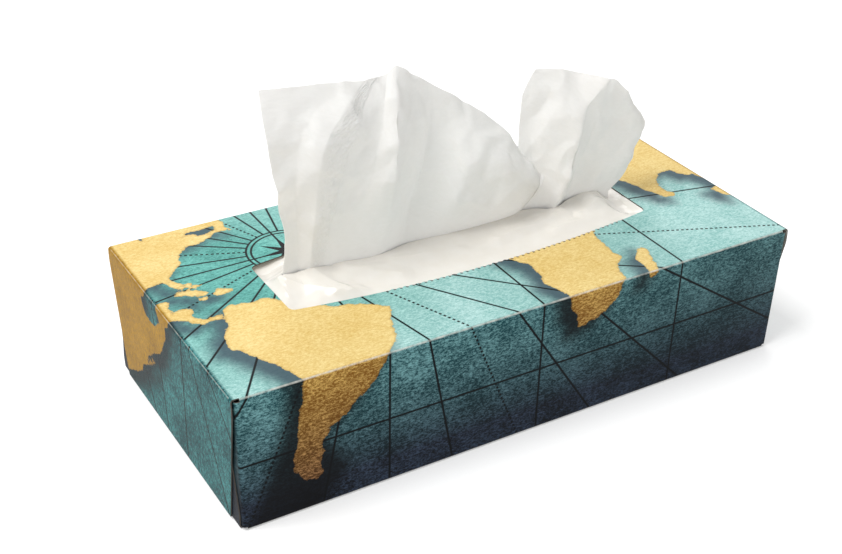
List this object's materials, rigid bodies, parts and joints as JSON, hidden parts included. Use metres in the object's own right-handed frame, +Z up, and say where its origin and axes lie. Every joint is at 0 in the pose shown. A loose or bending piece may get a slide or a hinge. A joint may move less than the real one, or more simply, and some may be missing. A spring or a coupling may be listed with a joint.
{
  "type": "tissue box",
  "caption": "Flat paperboard tissue box with an oblong opening in its top, a slit film under it and a gathered tissue standing in the slit.",
  "frame": {"origin": "middle of the carton's underside, on the table", "axes": "+X along the carton's length, +Y from the front to the back, +Z up through the opening"},
  "size_m": [0.23, 0.11, 0.124],
  "materials": {
    "printed_board": "printed coated paperboard, satin varnish",
    "film": "thin clear polyethylene film, glossy",
    "stack_tissue": "creped two-ply tissue, matte",
    "tissue": "creped two-ply tissue, matte"
  },
  "bodies": {
    "root": {"carton": "printed_board", "opening_film": "film", "tissue_stack": "stack_tissue", "pop_up_tissue": "tissue"}
  },
  "joints": []
}
